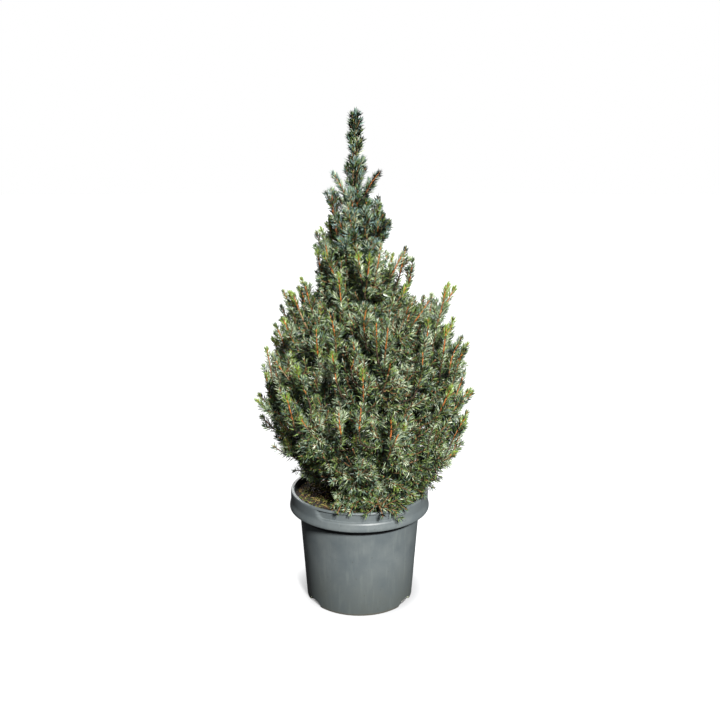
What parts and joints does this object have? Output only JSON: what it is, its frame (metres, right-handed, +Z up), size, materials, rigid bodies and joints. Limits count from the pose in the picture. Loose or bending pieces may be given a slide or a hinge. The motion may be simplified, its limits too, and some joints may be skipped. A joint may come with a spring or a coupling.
{
  "type": "potted alberta spruce",
  "caption": "Small cone-shaped blue-green spruce with dense upturned shoots and a slim leader, in a round grey nursery pot with a deep stepped collar.",
  "frame": {"origin": "middle of the pot's flat underside, where the pot stands on the ground", "axes": "+Z up along the plant, -Y the front that the camera sees, +X to the viewer's right"},
  "size_m": [0.3462, 0.3471, 0.788],
  "materials": {
    "pot": "satin grey injection-moulded polypropylene",
    "mix": "moist bark and peat potting mix",
    "bark": "thin grey-tan bark",
    "foliage": "waxy blue-green needles on orange-brown twigs"
  },
  "bodies": {
    "root": {"pot": "pot", "potting_mix": "mix", "trunk": "bark", "bough_wide_1": "bark", "bough_wide_2": "bark", "bough_wide_3": "bark", "bough_wide_4": "bark", "bough_wide_5": "bark", "bough_wide_6": "bark", "bough_mid_1": "bark", "bough_mid_2": "bark", "bough_mid_3": "bark", "bough_mid_4": "bark", "bough_mid_5": "bark", "bough_mid_6": "bark", "bough_high_1": "bark", "bough_high_2": "bark", "bough_high_3": "bark", "bough_high_4": "bark", "bough_high_5": "bark", "foliage_skirt_1": "foliage", "foliage_skirt_2": "foliage", "foliage_skirt_3": "foliage", "foliage_skirt_4": "foliage", "foliage_skirt_5": "foliage", "foliage_low_1": "foliage", "foliage_low_2": "foliage", "foliage_low_3": "foliage", "foliage_low_4": "foliage", "foliage_low_5": "foliage", "foliage_low_6": "foliage", "foliage_wide_1": "foliage", "foliage_wide_2": "foliage", "foliage_wide_3": "foliage", "foliage_wide_4": "foliage", "foliage_wide_5": "foliage", "foliage_wide_6": "foliage", "foliage_mid_1": "foliage", "foliage_mid_2": "foliage", "foliage_mid_3": "foliage", "foliage_mid_4": "foliage", "foliage_mid_5": "foliage", "foliage_mid_6": "foliage", "foliage_high_1": "foliage", "foliage_high_2": "foliage", "foliage_high_3": "foliage", "foliage_high_4": "foliage", "foliage_high_5": "foliage", "foliage_shoulder_1": "foliage", "foliage_shoulder_2": "foliage", "foliage_shoulder_3": "foliage", "foliage_shoulder_4": "foliage", "foliage_neck_1": "foliage", "foliage_neck_2": "foliage", "foliage_neck_3": "foliage", "foliage_spire_1": "foliage", "foliage_spire_2": "foliage", "foliage_leader_1": "foliage", "foliage_leader_2": "foliage", "foliage_top": "foliage"}
  },
  "joints": []
}
